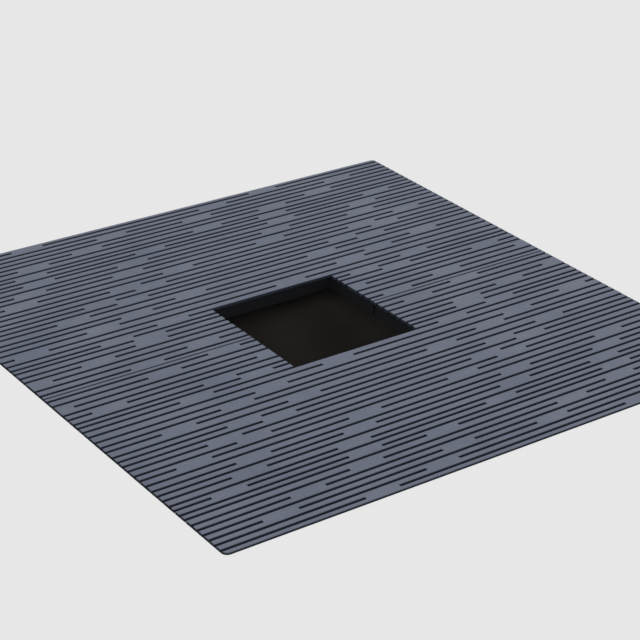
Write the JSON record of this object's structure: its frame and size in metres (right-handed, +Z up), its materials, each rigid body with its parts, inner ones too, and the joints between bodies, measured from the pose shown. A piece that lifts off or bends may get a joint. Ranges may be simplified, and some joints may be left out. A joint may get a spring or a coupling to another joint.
{
  "type": "tree grate",
  "caption": "Square steel tree grate of flat bars and flush spacers round a square trunk hole, in lift-out halves on a pit frame.",
  "frame": {"origin": "middle of the pit frame's underside", "axes": "+X along the bars, +Y across them from the front half to the rear half, +Z up"},
  "size_m": [1.498, 1.498, 0.051],
  "materials": {
    "deck_coat": "matt anthracite powder coat over zinc",
    "bearer_coat": "matt anthracite powder coat over zinc",
    "frame_zinc": "hot-dip galvanised",
    "seat_rubber": "matt",
    "stainless": "satin"
  },
  "bodies": {
    "pit_frame": {"corner_gusset_front_left": "frame_zinc", "corner_gusset_front_right": "frame_zinc", "corner_gusset_rear_left": "frame_zinc", "corner_gusset_rear_right": "frame_zinc", "frame_ledge_front": "frame_zinc", "frame_ledge_left": "frame_zinc", "frame_ledge_rear": "frame_zinc", "frame_ledge_right": "frame_zinc", "frame_upstand_front": "frame_zinc", "frame_upstand_left": "frame_zinc", "frame_upstand_rear": "frame_zinc", "frame_upstand_right": "frame_zinc", "lock_blocks": "frame_zinc", "seat_strip_front": "seat_rubber", "seat_strip_left": "seat_rubber", "seat_strip_rear": "seat_rubber", "seat_strip_right": "seat_rubber"},
    "front_half": {"front_centre_bearer": "bearer_coat", "front_edge_beam": "bearer_coat", "front_end_bar": "deck_coat", "front_field_spacers": "deck_coat", "front_hole_beam": "bearer_coat", "front_left_hole_bearer": "bearer_coat", "front_left_joint_beam": "bearer_coat", "front_left_middle_bearer": "bearer_coat", "front_left_rim_bearer": "bearer_coat", "front_left_short_bars": "deck_coat", "front_left_spacers": "deck_coat", "front_lock_lugs": "bearer_coat", "front_lock_screws": "stainless", "front_lock_washers": "stainless", "front_long_bars": "deck_coat", "front_right_hole_bearer": "bearer_coat", "front_right_joint_beam": "bearer_coat", "front_right_middle_bearer": "bearer_coat", "front_right_rim_bearer": "bearer_coat", "front_right_short_bars": "deck_coat", "front_right_spacers": "deck_coat"},
    "rear_half": {"rear_centre_bearer": "bearer_coat", "rear_edge_beam": "bearer_coat", "rear_end_bar": "deck_coat", "rear_field_spacers": "deck_coat", "rear_hole_beam": "bearer_coat", "rear_left_hole_bearer": "bearer_coat", "rear_left_joint_beam": "bearer_coat", "rear_left_middle_bearer": "bearer_coat", "rear_left_rim_bearer": "bearer_coat", "rear_left_short_bars": "deck_coat", "rear_left_spacers": "deck_coat", "rear_lock_lugs": "bearer_coat", "rear_lock_screws": "stainless", "rear_lock_washers": "stainless", "rear_long_bars": "deck_coat", "rear_right_hole_bearer": "bearer_coat", "rear_right_joint_beam": "bearer_coat", "rear_right_middle_bearer": "bearer_coat", "rear_right_rim_bearer": "bearer_coat", "rear_right_short_bars": "deck_coat", "rear_right_spacers": "deck_coat"}
  },
  "joints": [
    {"name": "front_lift", "type": "slide", "parent": "pit_frame", "child": "front_half", "axis": [0, 0, 1], "range_m": [0, 0.12]},
    {"name": "rear_lift", "type": "slide", "parent": "pit_frame", "child": "rear_half", "axis": [0, 0, 1], "range_m": [0, 0.12]}
  ]
}
